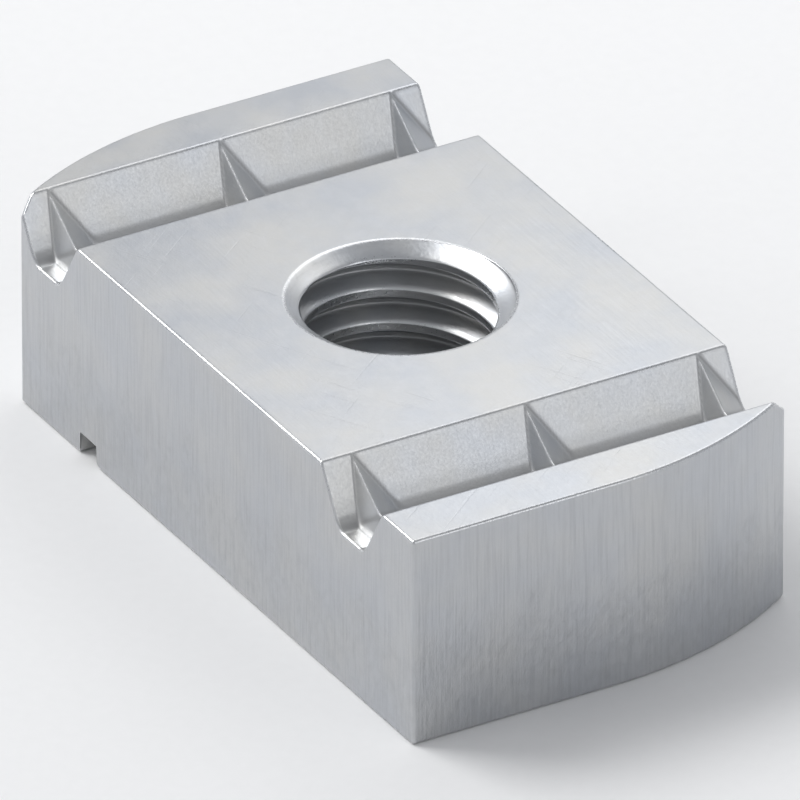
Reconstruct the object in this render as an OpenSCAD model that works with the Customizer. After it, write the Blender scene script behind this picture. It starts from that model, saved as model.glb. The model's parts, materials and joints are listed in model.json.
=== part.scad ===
// Springless channel nut for metal strut, 3/8 inch size.
// One piece of plated steel. It drops through the slot of a strut channel, turns a quarter
// and pulls up behind the channel's inturned lips, which its toothed grooves bite.
// Sizes are in millimetres. The origin is on the thread's axis, in the flat underside.
// X runs along the nut, Y along its grooves, and Z up through the thread to the grooved top.

/* [Body] */
// Length over the end faces, and the diameter that the nut turns in
nut_length = 34.925; // [32:0.025:38]
// Width over the side faces, which passes through the channel's slot
nut_width = 19.05; // [17:0.05:21]
// Thickness from the underside to the top
nut_thickness = 9.525; // [7:0.025:13]

/* [Lip grooves] */
// Distance between the middles of the grooves, the same as between the channel's lips
groove_spacing = 24.95; // [24:0.05:26]
// Width of a groove at the top face
groove_width = 4.9; // [4.2:0.1:5.4]
// Depth of a groove
groove_depth = 2.5; // [2.1:0.1:2.9]
// Lean of a groove's walls away from upright, in degrees
groove_wall_lean = 30; // [15:1:33]

/* [Teeth] */
// Teeth in a groove
tooth_count = 3; // [1:1:3]
// Distance from one tooth to the next
tooth_pitch = 8.1; // [4:0.1:8.5]
// Depth of a tooth's crest at the middle of the groove, below the top face
tooth_crest_depth = 1.8; // [1.4:0.05:2]
// Depth at which a tooth's crest leaves the groove's wall, below the top face
tooth_start_depth = 0.05; // [0.02:0.01:0.3]
// Angle of a tooth's steep flank to its middle plane, in degrees
tooth_steep_flank = 24; // [15:1:40]
// Angle of a tooth's gentle flank to its middle plane, in degrees
tooth_gentle_flank = 54.5; // [40:0.5:60]

/* [Thread] */
// Diameter over the thread's roots, which the countersinks open out to
thread_major_diameter = 9.525; // [8.5:0.025:10.5]
// Diameter of the bore at the thread's crests
thread_minor_diameter = 7.94; // [7:0.02:8.3]
// Full angle of the countersink at each mouth, in degrees
countersink_angle = 120; // [90:5:130]

/* [Underside slot] */
// Width of the slot across the underside
slot_width = 1.4; // [0.8:0.1:2]
// Depth of the slot
slot_depth = 0.9; // [0.5:0.1:1.5]
// Distance from the thread's axis to the middle of the slot
slot_offset = 9.1; // [7:0.05:12]

/* [Hidden] */
// How far a cut runs past the face that it opens through
cut_over = 1;
turn_radius = nut_length / 2;
half_width = nut_width / 2;
mouth_spread = tan(countersink_angle / 2);
countersink_depth = (thread_major_diameter - thread_minor_diameter) / 2 / mouth_spread;
groove_half_top = groove_width / 2;
groove_half_floor = groove_half_top - groove_depth * tan(groove_wall_lean);
// A tooth's crest runs in a straight line from the wall down to the middle of the groove
tooth_start = groove_half_top - tooth_start_depth * tan(groove_wall_lean);
tooth_crest_lean = atan(tooth_start / (tooth_crest_depth - tooth_start_depth));
tooth_wedge_length = (groove_depth + cut_over) / cos(tooth_crest_lean);
// Where a tooth's flanks reach the corner between the wall and the floor
tooth_corner_depth = (groove_depth - tooth_start_depth) * sin(tooth_crest_lean)
    - (tooth_start - groove_half_floor) * cos(tooth_crest_lean);
tooth_steep_foot = tooth_corner_depth * tan(tooth_steep_flank);
tooth_gentle_foot = tooth_corner_depth * tan(tooth_gentle_flank);

$fn = 120;

// One half of the plan, from the middle line to one end: square on one side of the
// middle line, and rounded to the turning circle on the other
module half_plan() {
    translate([-cut_over, -half_width])
        square([turn_radius + cut_over, half_width]);
    intersection() {
        circle(r = turn_radius);
        translate([-cut_over, 0])
            square([nut_length, half_width]);
    }
}

module plan() {
    half_plan();
    rotate(180)
        half_plan();
}

// Bore with a countersink at each mouth, as one turned shape on the thread's axis
module threaded_hole() {
    mouth_radius = thread_major_diameter / 2 + cut_over * mouth_spread;
    bore_radius = thread_minor_diameter / 2;
    rotate_extrude()
        polygon([
            [0, -cut_over],
            [mouth_radius, -cut_over],
            [bore_radius, countersink_depth],
            [bore_radius, nut_thickness - countersink_depth],
            [mouth_radius, nut_thickness + cut_over],
            [0, nut_thickness + cut_over]
        ]);
}

// Wedge of metal left standing in a groove. Its crest leaves the wall on the left near the
// top face and dips to the right, with a steep flank on one side and a gentle one on the other.
module tooth_wedge() {
    wedge_depth = groove_depth;
    translate([-tooth_start, 0, -tooth_start_depth])
        rotate([0, 180 - tooth_crest_lean, 0])
            translate([0, 0, -cut_over])
                linear_extrude(tooth_wedge_length + cut_over)
                    polygon([
                        [0, 0],
                        [wedge_depth, -wedge_depth * tan(tooth_steep_flank)],
                        [wedge_depth, wedge_depth * tan(tooth_gentle_flank)]
                    ]);
}

// Low ridge straight across the floor, between the feet of the two wedges
module tooth_ridge() {
    rise = groove_depth - tooth_crest_depth;
    below = 2;
    rotate([90, 0, 90])
        linear_extrude(groove_width, center = true)
            polygon([
                [0, -tooth_crest_depth],
                [-below * tooth_steep_foot, -tooth_crest_depth - below * rise],
                [below * tooth_gentle_foot, -tooth_crest_depth - below * rise]
            ]);
}

// Wedges from both walls meet in the middle, so the crest crosses the groove as a wide V
module tooth() {
    tooth_ridge();
    tooth_wedge();
    mirror([1, 0, 0])
        tooth_wedge();
}

// Groove along Y with its teeth left standing, centred on its opening in the top face
module lip_groove() {
    flare = cut_over * tan(groove_wall_lean);
    first_tooth = -(tooth_count - 1) / 2 * tooth_pitch;
    difference() {
        rotate([90, 0, 0])
            linear_extrude(nut_width + 2 * cut_over, center = true)
                polygon([
                    [-groove_half_floor, -groove_depth],
                    [groove_half_floor, -groove_depth],
                    [groove_half_top + flare, cut_over],
                    [-groove_half_top - flare, cut_over]
                ]);
        for (i = [0 : tooth_count - 1])
            translate([0, first_tooth + i * tooth_pitch, 0])
                tooth();
    }
}

// Narrow slot straight across the underside
module underside_slot() {
    translate([-slot_offset - slot_width / 2, -half_width - cut_over, -cut_over])
        cube([slot_width, nut_width + 2 * cut_over, slot_depth + cut_over]);
}

module channel_nut() {
    color("silver")
        difference() {
            linear_extrude(nut_thickness)
                plan();
            threaded_hole();
            for (side = [-1, 1])
                translate([side * groove_spacing / 2, 0, nut_thickness])
                    lip_groove();
            underside_slot();
        }
}

channel_nut();
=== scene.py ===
import json
import math

import bmesh
import bpy
import numpy as np
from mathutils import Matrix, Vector


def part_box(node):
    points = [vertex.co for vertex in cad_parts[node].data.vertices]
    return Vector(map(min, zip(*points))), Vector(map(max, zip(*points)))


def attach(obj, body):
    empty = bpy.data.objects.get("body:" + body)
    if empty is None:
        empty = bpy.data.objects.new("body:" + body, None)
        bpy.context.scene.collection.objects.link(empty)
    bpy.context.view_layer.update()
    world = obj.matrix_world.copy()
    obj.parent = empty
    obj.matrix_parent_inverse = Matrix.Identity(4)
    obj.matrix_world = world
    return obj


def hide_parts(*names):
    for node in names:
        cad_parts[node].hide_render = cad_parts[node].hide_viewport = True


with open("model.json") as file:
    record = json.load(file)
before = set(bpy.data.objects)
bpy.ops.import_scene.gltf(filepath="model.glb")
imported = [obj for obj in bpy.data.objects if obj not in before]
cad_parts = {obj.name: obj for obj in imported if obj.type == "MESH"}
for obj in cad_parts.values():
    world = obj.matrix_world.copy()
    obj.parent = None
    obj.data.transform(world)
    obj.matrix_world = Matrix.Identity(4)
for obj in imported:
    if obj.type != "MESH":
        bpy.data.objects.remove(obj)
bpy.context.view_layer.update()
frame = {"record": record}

# Lengths are in metres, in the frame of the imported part: X along the nut, Y along its
# grooves, Z up through the thread, and the origin on the thread's axis in the underside.
MM = 0.001
INCH = 25.4 * MM

# Sizes that the frame gives
HALF_X, HALF_Y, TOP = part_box("channel_nut")[1]
MOUNTS = {mount["name"]: mount for mount in frame["record"]["mounts"]}
GROOVE_X, _, GROOVE_FLOOR = MOUNTS["lip_groove_plus_x"]["pos_m"]
GROOVE_DEPTH = TOP - GROOVE_FLOOR
BORE_R = MOUNTS["thread"]["dims"]["r_mm"] * MM

# Grooves, with walls that lean away from upright
GROOVE_HALF_TOP = 2.45 * MM
WALL_LEAN = math.radians(30)
WALL_FALL = 1 / math.tan(WALL_LEAN)
GROOVE_HALF_FLOOR = GROOVE_HALF_TOP - GROOVE_DEPTH / WALL_FALL

# Teeth, with flanks at an angle to their middle plane and crests that dip to the groove's middle
TOOTH_PITCH = 8.1 * MM
TOOTH_PLACES = (-TOOTH_PITCH, 0, TOOTH_PITCH)
CREST_START = 0.05 * MM
CREST_DEPTH = 1.8 * MM
STEEP_FLANK = math.radians(24)
GENTLE_FLANK = math.radians(54.5)

# Thread, 3/8 inch and 16 turns to the inch. Its phase is counted in turns.
THREAD_PITCH = INCH / 16
THREAD_PHASE = 0.25
ROOT_R = INCH * 3 / 16
CREST_HALF = THREAD_PITCH / 8
FLANK_LEAN = math.radians(30)
FLANK_RISE = 1 / math.tan(FLANK_LEAN)

# Countersink at each mouth of the thread, with its slope to the flat face
MOUTH_SLOPE = math.radians(30)
MOUTH_FALL = 1 / math.tan(MOUTH_SLOPE)

# Slot across the underside
SLOT_X = -9.1 * MM
SLOT_HALF = 0.7 * MM
SLOT_DEPTH = 0.9 * MM
SLOT_DRAFT = 0.03 * MM

# Radii of the rounded edges
EDGE_R = 0.15 * MM
MOUTH_R = 0.4 * MM
SLOT_R = 0.15 * MM

# Differences in height, or in radius, within which two surfaces blend
GROOVE_EDGE_SOFT = 0.18 * MM
GROOVE_CORNER_SOFT = 0.7 * MM
TOOTH_CREST_SOFT = 0.12 * MM
TOOTH_FOOT_SOFT = 0.22 * MM
THREAD_SOFT = 0.1 * MM
MOUTH_SOFT = 0.07 * MM
# Share of that blending at which the edges count as sharp
SHARP = 0.001

# How strongly the thread's crests are worn, how fast its marks fade to either side, and how
# far up its rounding a lip of the slot is worn most
THREAD_WEAR = 0.6
THREAD_FADE = 3
LIP_WORN_AT = 0.4

# How finely the surfaces are divided
FINE = 0.05 * MM
COARSE = 0.6 * MM
EDGE_STEPS = 5
FAN_STEPS = 6
RIM_STEPS = 4
THREAD_SECTORS = 150
LINES_PER_TURN = 24

# How far the fine rows of the grid reach from a tooth's crest and from an end of the grooves
STEEP_REACH = 0.8 * MM
CREST_REACH = 0.4 * MM
GENTLE_REACH = 2.1 * MM
END_REACH = 1.2 * MM

# Half the length of the patch round the hole that the grid leaves open
PATCH_HALF = 8 * MM

# Grid places and corners that are nearer than these are one, and so are faces that turn less
NEAR = 0.02 * MM
SAME = 0.0004 * MM
SAME_TURN = math.radians(0.02)

# Plating, from its dull to its bright patches, and what marks it
ZINC_BLUE = (0.58, 0.60, 0.63, 1)
ZINC_GREY = (0.66, 0.66, 0.65, 1)
ZINC_BRIGHT = (0.70, 0.71, 0.73, 1)
SHEARED_FACE = (0.46, 0.47, 0.49, 1)
SHEAR_STREAK = (0.40, 0.41, 0.43, 1)
TORN_PIT = (0.40, 0.41, 0.42, 1)
# Dark grey for dust with painted shade, which darkens the hollows
HOLLOW_DUST_AND_SHADE = (0.34, 0.34, 0.34, 1)
WORN_EDGE = (0.80, 0.81, 0.82, 1)

# Heights on the sheared sides where the torn part begins and is full, and how ragged that is
TORN_FROM = 0.62 * TOP
TORN_FULL = 0.42 * TOP
TORN_RAGGED = 3.5 * MM

# Floor, just below the nut
FLOOR_HALF = 3.0
FLOOR_LEVEL = -0.02 * MM
FLOOR_DARK = (0.86, 0.86, 0.86, 1)
FLOOR_PALE = (0.89, 0.89, 0.89, 1)
FLOOR_ROUGHNESS = 0.75

# Light from all round, with its strength near the horizon and overhead
SKY_COLOUR = (0.94, 0.96, 1.0, 1)
SKY_LOW = 0.62
SKY_HIGH = 0.36

# Camera: where it stands in degrees round and up, its lens and sensor in their own
# millimetres, the width and range in view, and its aim from the middle of the nut's top
VIEW_AZIMUTH = 60
VIEW_ELEVATION = 30
LENS = 1500
SENSOR = 36
VIEW_WIDTH = 32.6 * MM
VIEW_RANGE = (0.1, 20)
AIM_LEFT = 0.03 * MM
AIM_DOWN = 4.22 * MM


# Form of the surfaces

def soft_min(a, b, width):
    """Lesser of two heights, with the crossing rounded where they differ by less than width."""
    near = np.maximum(width - np.abs(a - b), 0) / width
    return np.minimum(a, b) - near * near * width / 4


def soft_max(a, b, width):
    """Greater of two heights, rounded the same way."""
    return -soft_min(-a, -b, width)


def tooth_depth(off, along, soft):
    """Depth of a tooth below the top, off the groove's middle and along the groove."""
    start = GROOVE_HALF_TOP - CREST_START / WALL_FALL
    crest_fall = (CREST_DEPTH - CREST_START) / start
    slant = math.hypot(1, crest_fall)
    steep_fall = slant / math.tan(STEEP_FLANK)
    gentle_fall = slant / math.tan(GENTLE_FLANK)
    rise = GROOVE_DEPTH - CREST_DEPTH
    corner = rise + crest_fall * GROOVE_HALF_FLOOR
    crest = soft * TOOTH_CREST_SOFT
    flanks = soft_max(-steep_fall * along, gentle_fall * along, crest)
    wedges = CREST_DEPTH - crest_fall * np.hypot(off, crest) + flanks
    ridge_flanks = flanks * rise / corner
    return soft_min(wedges, CREST_DEPTH + ridge_flanks, soft * TOOTH_FOOT_SOFT)


def top_depth(x, y, soft=1.0):
    """Depth of the surface below the flat top. Soft is the share of the full rounding."""
    off = np.abs(x) - GROOVE_X
    wall = (GROOVE_HALF_TOP - np.abs(off)) * WALL_FALL
    depth = soft_min(wall, GROOVE_DEPTH, soft * GROOVE_CORNER_SOFT)
    for place in TOOTH_PLACES:
        depth = soft_min(depth, tooth_depth(off, y - place, soft), soft * TOOTH_FOOT_SOFT)
    return soft_max(depth, 0, soft * GROOVE_EDGE_SOFT)


def slot_profile():
    """Half of the slot's section, from its lip in to its roof: distances and heights."""
    turns = np.linspace(0, math.pi / 2, EDGE_STEPS)
    out = SLOT_HALF + SLOT_R * (1 - np.sin(turns))
    up = SLOT_R * (1 - np.cos(turns))
    inner = SLOT_HALF - SLOT_DRAFT
    return (np.append(out, [inner, inner - SLOT_DRAFT]),
            np.append(up, [SLOT_DEPTH - SLOT_DRAFT, SLOT_DEPTH]))


def underside_height(x):
    """Height of the underside, which is zero but for the slot."""
    out, up = slot_profile()
    return np.interp(np.abs(x - SLOT_X), out[::-1], up[::-1])


def thread_radius(turn, z):
    """Radius of the hole's surface at a turn, in whole turns, and a height."""
    phase = (z / THREAD_PITCH - turn + THREAD_PHASE) % 1.0
    from_crest = np.abs(phase - 0.5) * THREAD_PITCH
    flank = BORE_R + (from_crest - CREST_HALF) * FLANK_RISE
    turns = soft_min(soft_max(flank, BORE_R, THREAD_SOFT), ROOT_R, THREAD_SOFT)
    mouth_cone = ROOT_R - np.minimum(z, TOP - z) * MOUTH_FALL
    return soft_max(turns, mouth_cone, MOUTH_SOFT)


def reach(y):
    """Where the flat top ends on the +X side: square below the middle line, round above it."""
    radius = HALF_X - EDGE_R
    return np.sqrt(radius ** 2 - np.maximum(y, 0) ** 2)


# Grid over the plan

def spaced(start, stop, step):
    """Even places from start to stop, about a step apart."""
    return np.linspace(start, stop, round((stop - start) / step) + 1)


def merged(*runs):
    """All the places of several runs in order, without those that nearly meet an earlier run's."""
    kept = runs[0]
    for run in runs[1:]:
        gaps = np.abs(np.subtract.outer(run, kept)).min(axis=1)
        kept = np.append(kept, run[gaps > NEAR])
    return np.sort(kept)


def grid_rows():
    """Places along Y: fine at the teeth and at both ends of the grooves, coarse elsewhere."""
    edge = HALF_Y - EDGE_R
    rows = [np.array([-edge, edge, *TOOTH_PLACES])]
    for place in TOOTH_PLACES:
        rows.append(spaced(place - STEEP_REACH, place + CREST_REACH, FINE))
        rows.append(spaced(place + CREST_REACH, place + GENTLE_REACH, 2 * FINE))
    rows.append(spaced(-edge, -edge + END_REACH, FINE))
    rows.append(spaced(edge - END_REACH, edge, FINE))
    rows.append(spaced(-edge, edge, COARSE))
    ys = merged(*rows)
    return ys[np.abs(ys) < edge + NEAR]


def grid_lines():
    """Places along X: the ends of the open patch, the slot's section and both grooves."""
    span = GROOVE_HALF_TOP + GROOVE_EDGE_SOFT
    slot_out, _ = slot_profile()
    return merged(
        np.array([-PATCH_HALF, PATCH_HALF]),
        SLOT_X - slot_out,
        SLOT_X + slot_out,
        spaced(-GROOVE_X - span, -GROOVE_X + span, FINE),
        spaced(GROOVE_X - span, GROOVE_X + span, FINE),
    )


def plan_grid():
    """Places of the grid that covers both the top and the underside, row by row along Y.
    Each land outside a groove has a line at its outer edge and one half way in."""
    ys = grid_rows()
    lines = grid_lines()
    right = reach(ys)[:, None]
    left = -reach(-ys)[:, None]
    land = np.array([[0.0, 0.5]])
    xs = np.hstack([
        left + land * np.maximum(lines[0] - left, 0),
        np.clip(lines[None, :], left, right),
        right - land[:, ::-1] * np.maximum(right - lines[-1], 0),
    ])
    return xs, np.broadcast_to(ys[:, None], xs.shape)


# Skin of the nut

class Shell:
    """Closed skin under construction. Each corner carries marks that the material reads:
    wear on outer edges, dust with painted shade in hollows, and cut on the faces that were
    sheared."""

    MARKS = ("wear", "dust", "cut")

    def __init__(self):
        self.mesh = bmesh.new()
        self.layers = [self.mesh.verts.layers.float.new(name) for name in self.MARKS]

    def corner(self, place, wear=0.0, dust=0.0, cut=0.0):
        vert = self.mesh.verts.new(place)
        for layer, value in zip(self.layers, (wear, dust, cut)):
            vert[layer] = value
        return vert

    def face(self, *corners):
        """Face between corners, unless fewer than three of them differ."""
        corners = list(dict.fromkeys(corners))
        if len(corners) > 2:
            self.mesh.faces.new(corners)

    def strip(self, first, second):
        """Faces between two runs of corners."""
        for a, b, c, d in zip(first, first[1:], second[1:], second):
            self.face(a, b, c, d)

    def fill(self, outer, inner):
        """Flat faces between an outer and an inner loop of corners."""
        edges = []
        for loop in (outer, inner):
            for a, b in zip(loop, loop[1:] + loop[:1]):
                edges.append(self.mesh.edges.get((a, b)) or self.mesh.edges.new((a, b)))
        bmesh.ops.triangle_fill(self.mesh, use_beauty=True, edges=edges)


def flat_side(shell, xs, ys, heights, wear, dust):
    """Grid of corners over the top or underside, with faces everywhere but round the hole.
    Returns the rows of corners and the loop round the open patch."""
    rows = [
        [shell.corner(place, worn, dusty_and_shaded) for *place, worn, dusty_and_shaded in zip(*columns)]
        for columns in zip(xs, ys, heights, wear, dust)
    ]
    middle = xs[len(xs) // 2]
    first = int(np.argmin(np.abs(middle + PATCH_HALF)))
    last = int(np.argmin(np.abs(middle - PATCH_HALF)))
    for number, (row, after) in enumerate(zip(rows, rows[1:])):
        if number in (0, len(rows) - 2):
            shell.strip(row, after)
        else:
            shell.strip(row[:first + 1], after[:first + 1])
            shell.strip(row[last:], after[last:])
    inside = rows[1:-1]
    loop = inside[0][first:last + 1] + [row[last] for row in inside[1:-1]]
    loop += inside[-1][first:last + 1][::-1] + [row[first] for row in inside[-2:0:-1]]
    return rows, loop


def top_marks(xs, ys, depth):
    """Wear where the rounding takes metal off the top, and dust with painted shade where it fills
    a corner.
    """
    rounding = (depth - top_depth(xs, ys, soft=SHARP)) / GROOVE_EDGE_SOFT * 4
    # The second value darkens filled corners: dust with painted shade
    return np.clip(rounding, 0, 1), np.clip(-rounding, 0, 1)


def lip_wear(lift):
    """Wear on the rounded lips of the slot, by the height of the underside there."""
    return np.clip(1 - np.abs(lift / SLOT_R - LIP_WORN_AT) / LIP_WORN_AT, 0, 1)


def rim_sides(last_row, last_line):
    """Grid places along the four sides of the plan, anticlockwise from the -Y side."""
    return [
        [(0, line) for line in range(last_line + 1)],
        [(row, last_line) for row in range(last_row + 1)],
        [(last_row, line) for line in range(last_line, -1, -1)],
        [(row, 0) for row in range(last_row, -1, -1)],
    ]


def edge_facing(quarter, x, y):
    """Direction that the plan's edge faces: outward where an end is round, else square to it."""
    if quarter in (1, 3) and x * y > 0:
        return math.atan2(y, x) % (2 * math.pi)
    return (quarter - 1) * math.pi / 2


def rim_columns(xs, ys):
    """Grid places round the plan, each with the direction that its edge faces. A plan corner
    has a fan of directions, so that it is rounded too."""
    columns = []
    for quarter, side in enumerate(rim_sides(xs.shape[0] - 1, xs.shape[1] - 1)):
        for place in side:
            facing = edge_facing(quarter, xs[place], ys[place])
            if columns and place == columns[-1][0]:
                before = columns[-1][1]
                fan = np.linspace(before, facing, FAN_STEPS + 1)[1:]
                columns += [(place, angle) for angle in fan]
            else:
                columns.append((place, facing))
    first_place, first_facing = columns[0]
    fan = np.linspace(columns[-1][1], first_facing + 2 * math.pi, FAN_STEPS + 1)[1:-1]
    return columns + [(first_place, angle) for angle in fan]


def outer_wall(shell, xs, ys, top_rows, low_rows):
    """Rounded edges and upright wall between the rims of the top and the underside."""
    bends = np.linspace(0, math.pi / 2, EDGE_STEPS + 1)[1:]
    runs = []
    for (row, line), facing in rim_columns(xs, ys):
        above, below = top_rows[row][line], low_rows[row][line]
        out = Vector((math.cos(facing), math.sin(facing), 0))
        run = [above]
        for rim, sign, order in ((above, -1, bends), (below, 1, bends[::-1])):
            for bend in order:
                drop = Vector((0, 0, sign * EDGE_R * (1 - math.cos(bend))))
                place = rim.co + out * EDGE_R * math.sin(bend) + drop
                run.append(shell.corner(place, wear=math.sin(2 * bend), cut=math.sin(bend) ** 4))
        runs.append(run + [below])
    for run, after in zip(runs, runs[1:] + runs[:1]):
        shell.strip(run, after)


def ring(shell, radius, height, wear=0.0):
    """Ring of corners about the thread's axis."""
    angles = np.arange(THREAD_SECTORS) * 2 * math.pi / THREAD_SECTORS
    return [
        shell.corner((radius * math.cos(a), radius * math.sin(a), height), wear)
        for a in angles
    ]


def mouth(shell, level, inward):
    """Rounded rim of a countersink, from the flat face in to where the cone begins."""
    outer = ROOT_R + MOUTH_R * math.tan(MOUTH_SLOPE / 2)
    rings = []
    for bend in np.linspace(0, MOUTH_SLOPE, RIM_STEPS + 1)[:-1]:
        deep = MOUTH_R * (1 - math.cos(bend))
        worn = math.sin(math.pi * bend / MOUTH_SLOPE)
        rings.append(ring(shell, outer - MOUTH_R * math.sin(bend), level + inward * deep, worn))
    return rings


def thread(shell):
    """Wall of the hole as lines that climb with the thread, held within its two mouths.
    Returns the rings at its foot and head."""
    margin = MOUTH_R * (1 - math.cos(MOUTH_SLOPE))
    low, high = margin, TOP - margin
    step = THREAD_PITCH / LINES_PER_TURN
    starts = np.arange(low - THREAD_PITCH, high + step, step)
    columns = []
    for sector in range(THREAD_SECTORS):
        turn = sector / THREAD_SECTORS
        angle = turn * 2 * math.pi
        heights = np.clip(starts + turn * THREAD_PITCH, low, high)
        radii = thread_radius(turn, heights)
        depth = np.clip((radii - BORE_R) / (ROOT_R - BORE_R), 0, 1)
        within = (heights > low + margin) & (heights < high - margin)
        wear = THREAD_WEAR * within * (1 - depth) ** THREAD_FADE
        # Dust with painted shade, darkest in the thread's roots
        dust = within * depth ** THREAD_FADE
        columns.append([
            shell.corner((r * math.cos(angle), r * math.sin(angle), z), worn, dusty_and_shaded)
            for r, z, worn, dusty_and_shaded in zip(radii, heights, wear, dust)
        ])
    wrap = columns[0][LINES_PER_TURN:] + [columns[0][-1]] * LINES_PER_TURN
    for column, after in zip(columns, columns[1:] + [wrap]):
        shell.strip(column, after)
    return [column[0] for column in columns], [column[-1] for column in columns]


def closed(loop):
    """Loop of corners as a run that ends where it starts."""
    return loop + loop[:1]


def nut_skin():
    """Whole skin: the top, the underside, the outer wall, the thread and its two mouths."""
    shell = Shell()
    xs, ys = plan_grid()
    depth = top_depth(xs, ys)
    wear, dust = top_marks(xs, ys, depth)
    top_rows, top_loop = flat_side(shell, xs, ys, TOP - depth, wear, dust)
    lift = underside_height(xs)
    low_rows, low_loop = flat_side(shell, xs, ys, lift, lip_wear(lift), np.zeros_like(lift))
    outer_wall(shell, xs, ys, top_rows, low_rows)
    foot, head = thread(shell)
    for level, inward, end, loop in ((TOP, -1, head, top_loop), (0, 1, foot, low_loop)):
        rings = mouth(shell, level, inward)
        for outer, inner in zip(rings, rings[1:] + [end]):
            shell.strip(closed(outer), closed(inner))
        shell.fill(loop, rings[0])
    return shell.mesh


def join_flats(mesh):
    """Joins the small faces of the flat top and underside into broad ones."""
    level = [vert for vert in mesh.verts if min(vert.co.z, TOP - vert.co.z) < SAME]
    members = set(level)
    inner = [edge for edge in mesh.edges if members.issuperset(edge.verts)]
    bmesh.ops.dissolve_limit(mesh, angle_limit=SAME_TURN, verts=level, edges=inner)


def even_normals(mesh):
    """Normals that shade broad faces flat and leave the turn to the narrow rounded ones."""
    mesh.normal_update()
    mesh.verts.index_update()
    normals = np.zeros((len(mesh.verts), 3))
    for face in mesh.faces:
        weight = (face.calc_area() / FINE ** 2) ** 2
        normals[[vert.index for vert in face.verts]] += np.array(face.normal) * weight
    return normals / np.linalg.norm(normals, axis=1, keepdims=True)


def nut_mesh():
    """Skin joined up and cut into triangles, with the normals of its broader faces."""
    mesh = nut_skin()
    bmesh.ops.remove_doubles(mesh, verts=mesh.verts, dist=SAME)
    join_flats(mesh)
    bmesh.ops.recalc_face_normals(mesh, faces=mesh.faces)
    normals = even_normals(mesh)
    bmesh.ops.triangulate(mesh, faces=mesh.faces, quad_method="BEAUTY", ngon_method="BEAUTY")
    for face in mesh.faces:
        face.smooth = True
    data = bpy.data.meshes.new("channel_nut_visual")
    mesh.to_mesh(data)
    mesh.free()
    data.normals_split_custom_set_from_vertices(normals.tolist())
    return data


# Shader nodes

def feed(tree, socket, value):
    """Links an input to another node's output, or sets it to a plain value."""
    if isinstance(value, bpy.types.NodeSocket):
        tree.links.new(value, socket)
    else:
        socket.default_value = value


def node(tree, kind, inputs=None, **settings):
    """New shader node with its settings, and each input set or linked."""
    made = tree.nodes.new(kind)
    for name, value in settings.items():
        setattr(made, name, value)
    for name, value in (inputs or {}).items():
        feed(tree, made.inputs[name], value)
    return made


def noise(tree, place, size, detail, stretch=(1, 1, 1), turn=0.0):
    """Noise whose features are about that size, drawn out along turned axes by stretch."""
    mapping = node(tree, "ShaderNodeMapping", {
        "Vector": place,
        "Rotation": (0, 0, math.radians(turn)),
        "Scale": [size * s for s in stretch],
    }, vector_type="TEXTURE")
    made = node(tree, "ShaderNodeTexNoise", {
        "Vector": mapping.outputs["Vector"], "Scale": 1.0, "Detail": detail,
    })
    return made.outputs["Fac"]


def ramp(tree, value, low, high, to_low=0.0, to_high=1.0):
    """Value brought from one range to another, and held within it."""
    return node(tree, "ShaderNodeMapRange", {
        "Value": value, "From Min": low, "From Max": high, "To Min": to_low, "To Max": to_high,
    }).outputs["Result"]


def maths(tree, operation, a, b=0.0):
    """Result of an operation on one or two values."""
    made = node(tree, "ShaderNodeMath", operation=operation)
    feed(tree, made.inputs[0], a)
    feed(tree, made.inputs[1], b)
    return made.outputs["Value"]


def product(tree, *values):
    """All the values multiplied together."""
    total = values[0]
    for value in values[1:]:
        total = maths(tree, "MULTIPLY", total, value)
    return total


def mixed(tree, factor, a, b):
    """Colour between a and b."""
    made = node(tree, "ShaderNodeMix", data_type="RGBA")
    by_name = {socket.identifier: socket for socket in made.inputs}
    for name, value in (("Factor_Float", factor), ("A_Color", a), ("B_Color", b)):
        feed(tree, by_name[name], value)
    return next(socket for socket in made.outputs if socket.identifier == "Result_Color")


def bumped(tree, height, distance, strength, normal=None):
    """Normal with a relief on it, over an earlier normal if there is one."""
    inputs = {"Height": height, "Distance": distance, "Strength": strength}
    if normal is not None:
        inputs["Normal"] = normal
    return node(tree, "ShaderNodeBump", inputs).outputs["Normal"]


def upright(tree, vector):
    """Z of a vector."""
    return node(tree, "ShaderNodeSeparateXYZ", {"Vector": vector}).outputs["Z"]


def new_material(name):
    """New material with its tree of nodes and its shader."""
    material = bpy.data.materials.new(name)
    material.use_nodes = True
    tree = material.node_tree
    return material, tree, tree.nodes["Principled BSDF"]


# Bright zinc over steel

def scratch_marks(tree, place, normal):
    """Fine scratches in two directions, gathered in patches on the level faces."""
    long_ones = noise(tree, place, 0.12 * MM, 1, stretch=(100, 1, 100), turn=28)
    short_ones = noise(tree, place, 0.1 * MM, 1, stretch=(60, 1, 60), turn=-52)
    scratches = maths(
        tree, "MAXIMUM", ramp(tree, long_ones, 0.68, 0.74), ramp(tree, short_ones, 0.69, 0.75)
    )
    handled = ramp(tree, noise(tree, place, 4.5 * MM, 2), 0.42, 0.6)
    level = ramp(tree, maths(tree, "ABSOLUTE", upright(tree, normal)), 0.9, 0.98)
    return product(tree, scratches, handled, level)


def torn_part(tree, place, cut):
    """Lower part of the sheared sides, where the metal tore, with a ragged upper limit."""
    waves = noise(tree, place, 1.6 * MM, 4, stretch=(1, 1, 3))
    ragged = ramp(tree, waves, 0, 1, -TORN_RAGGED, TORN_RAGGED)
    height = maths(tree, "ADD", upright(tree, place), ragged)
    return product(tree, ramp(tree, height, TORN_FROM, TORN_FULL), cut)


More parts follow.
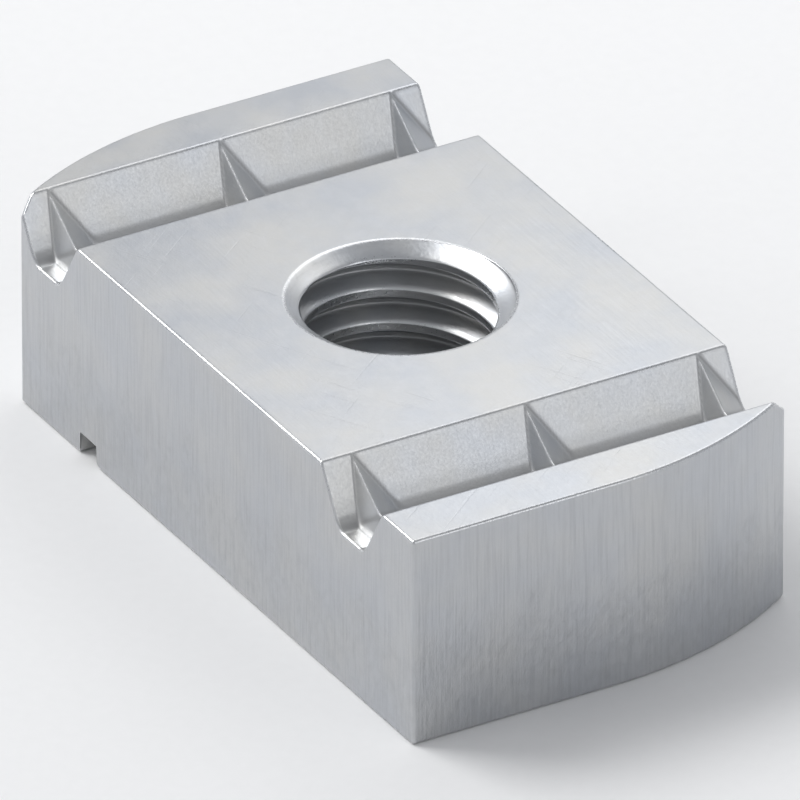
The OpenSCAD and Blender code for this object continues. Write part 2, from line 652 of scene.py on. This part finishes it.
def plated_steel():
    """Cloudy satin plating with faint scratches, sheared sides, worn edges and hollows darkened by
    dust and painted shade.
    """
    material, tree, shader = new_material("plated_steel")
    spots = node(tree, "ShaderNodeTexCoord")
    place = spots.outputs["Object"]
    wear, dust, cut = [
        node(tree, "ShaderNodeAttribute", attribute_name=name).outputs["Fac"]
        for name in Shell.MARKS
    ]
    cloud = noise(tree, place, 3.5 * MM, 3)
    mottle = noise(tree, place, 0.7 * MM, 3)
    grain = noise(tree, place, 0.11 * MM, 2)
    rolled = noise(tree, place, 0.16 * MM, 2, stretch=(14, 1, 1))
    scratches = scratch_marks(tree, place, spots.outputs["Normal"])
    torn = torn_part(tree, place, cut)
    sheared = product(tree, noise(tree, place, 0.14 * MM, 3, stretch=(1, 1, 22)), cut)
    pitted = product(tree, noise(tree, place, 0.3 * MM, 4, stretch=(1, 1, 2)), torn)

    tint = mixed(tree, ramp(tree, cloud, 0.35, 0.65), ZINC_BLUE, ZINC_GREY)
    for value, low, high, most, colour in (
        (mottle, 0.45, 0.75, 0.25, ZINC_BRIGHT),
        (cut, 0.2, 1, 0.5, SHEARED_FACE),
        (sheared, 0.45, 0.7, 0.35, SHEAR_STREAK),
        (pitted, 0.45, 0.7, 0.25, TORN_PIT),
        # Painted shade with dust: the hollows darken towards dark grey
        (dust, 0.2, 1, 0.6, HOLLOW_DUST_AND_SHADE),
        (wear, 0.3, 1, 0.7, WORN_EDGE),
    ):
        tint = mixed(tree, ramp(tree, value, low, high, 0, most), tint, colour)
    feed(tree, shader.inputs["Base Color"], tint)

    rough = ramp(tree, cloud, 0.3, 0.7, 0.31, 0.38)
    for value, low, high, at_low, at_high in (
        (grain, 0.3, 0.7, -0.03, 0.05),
        (torn, 0, 1, 0, 0.07),
        (wear, 0, 1, 0, -0.08),
        (dust, 0, 1, 0, 0.10),
    ):
        rough = maths(tree, "ADD", rough, ramp(tree, value, low, high, at_low, at_high))
    feed(tree, shader.inputs["Roughness"], rough)

    normal = None
    for relief, distance, strength in (
        (mottle, 0.010 * MM, 0.35),
        (rolled, 0.010 * MM, 0.55),
        (sheared, 0.03 * MM, 0.8),
        (pitted, 0.05 * MM, 0.8),
        (grain, 0.006 * MM, 0.5),
        (scratches, -0.008 * MM, 0.5),
    ):
        normal = bumped(tree, relief, distance, strength, normal)
    feed(tree, shader.inputs["Normal"], normal)
    shader.inputs["Metallic"].default_value = 1.0
    return material


# The nut and the studio round it

def added(name, data):
    """New object in the scene."""
    made = bpy.data.objects.new(name, data)
    bpy.context.scene.collection.objects.link(made)
    return made


def add_nut():
    """Dressed nut, which stands for the plain one and rides with it."""
    nut = added("channel_nut_visual", nut_mesh())
    nut.data.materials.append(plated_steel())
    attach(nut, "root")
    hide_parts("channel_nut")


def add_floor():
    """Wide pale floor with a faint fleck."""
    material, tree, shader = new_material("pale_floor")
    place = node(tree, "ShaderNodeTexCoord").outputs["Object"]
    fleck = noise(tree, place, 0.6 * MM, 3)
    feed(tree, shader.inputs["Base Color"], mixed(tree, fleck, FLOOR_DARK, FLOOR_PALE))
    shader.inputs["Roughness"].default_value = FLOOR_ROUGHNESS
    corners = [
        (x * FLOOR_HALF, y * FLOOR_HALF, FLOOR_LEVEL)
        for x, y in ((-1, -1), (1, -1), (1, 1), (-1, 1))
    ]
    data = bpy.data.meshes.new("floor")
    data.from_pydata(corners, [], [(0, 1, 2, 3)])
    data.materials.append(material)
    added("floor", data)


def outward(azimuth, elevation):
    """Direction away from the nut, in degrees round it from the -Y side and up."""
    a, e = math.radians(azimuth), math.radians(elevation)
    return Vector((math.sin(a) * math.cos(e), -math.cos(a) * math.cos(e), math.sin(e)))


def aim(thing, place, target):
    """Puts a light or camera at a place, facing a target."""
    thing.location = place
    thing.rotation_euler = (Vector(target) - Vector(place)).to_track_quat("-Z", "Y").to_euler()


def add_softbox(name, azimuth, elevation, distance, size, power):
    """Area light that faces the nut from a direction round it and above the floor, in degrees."""
    light = bpy.data.lights.new(name, "AREA")
    light.shape = "RECTANGLE"
    light.size, light.size_y = size
    light.energy = power
    aim(added(name, light), outward(azimuth, elevation) * distance, (0, 0, TOP / 2))


def add_sky():
    """Even light from all round, a little stronger near the horizon."""
    world = bpy.data.worlds.new("studio")
    world.use_nodes = True
    tree = world.node_tree
    background = tree.nodes["Background"]
    background.inputs["Color"].default_value = SKY_COLOUR
    height = upright(tree, node(tree, "ShaderNodeTexCoord").outputs["Generated"])
    feed(tree, background.inputs["Strength"], ramp(tree, height, 0.1, 0.8, SKY_LOW, SKY_HIGH))
    bpy.context.scene.world = world


def add_lights():
    """Large key light, a small light close behind for the top, and two fills for the sides."""
    add_softbox(
        "key_softbox", azimuth=305, elevation=52, distance=0.7, size=(0.35, 0.35), power=2.75
    )
    add_softbox(
        "back_softbox", azimuth=218, elevation=49, distance=0.15, size=(0.115, 0.085), power=0.040
    )
    add_softbox(
        "right_softbox", azimuth=112, elevation=34, distance=0.5, size=(0.20, 0.30), power=0.18
    )
    add_softbox(
        "front_softbox", azimuth=350, elevation=40, distance=0.5, size=(0.12, 0.20), power=0.16
    )
    add_sky()


def add_camera():
    """Camera far off on a long lens, so that parallel edges stay nearly parallel."""
    toward = outward(VIEW_AZIMUTH, VIEW_ELEVATION)
    right = outward(VIEW_AZIMUTH + 90, 0)
    up = toward.cross(right)
    target = Vector((0, 0, TOP)) - right * AIM_LEFT - up * AIM_DOWN
    data = bpy.data.cameras.new("camera")
    data.lens, data.sensor_width = LENS, SENSOR
    data.clip_start, data.clip_end = VIEW_RANGE
    camera = added("camera", data)
    aim(camera, target + toward * VIEW_WIDTH * LENS / SENSOR, target)
    bpy.context.scene.camera = camera


add_nut()
add_floor()
add_lights()
add_camera()
bpy.context.scene.view_settings.view_transform = "Standard"
bpy.context.view_layer.update()
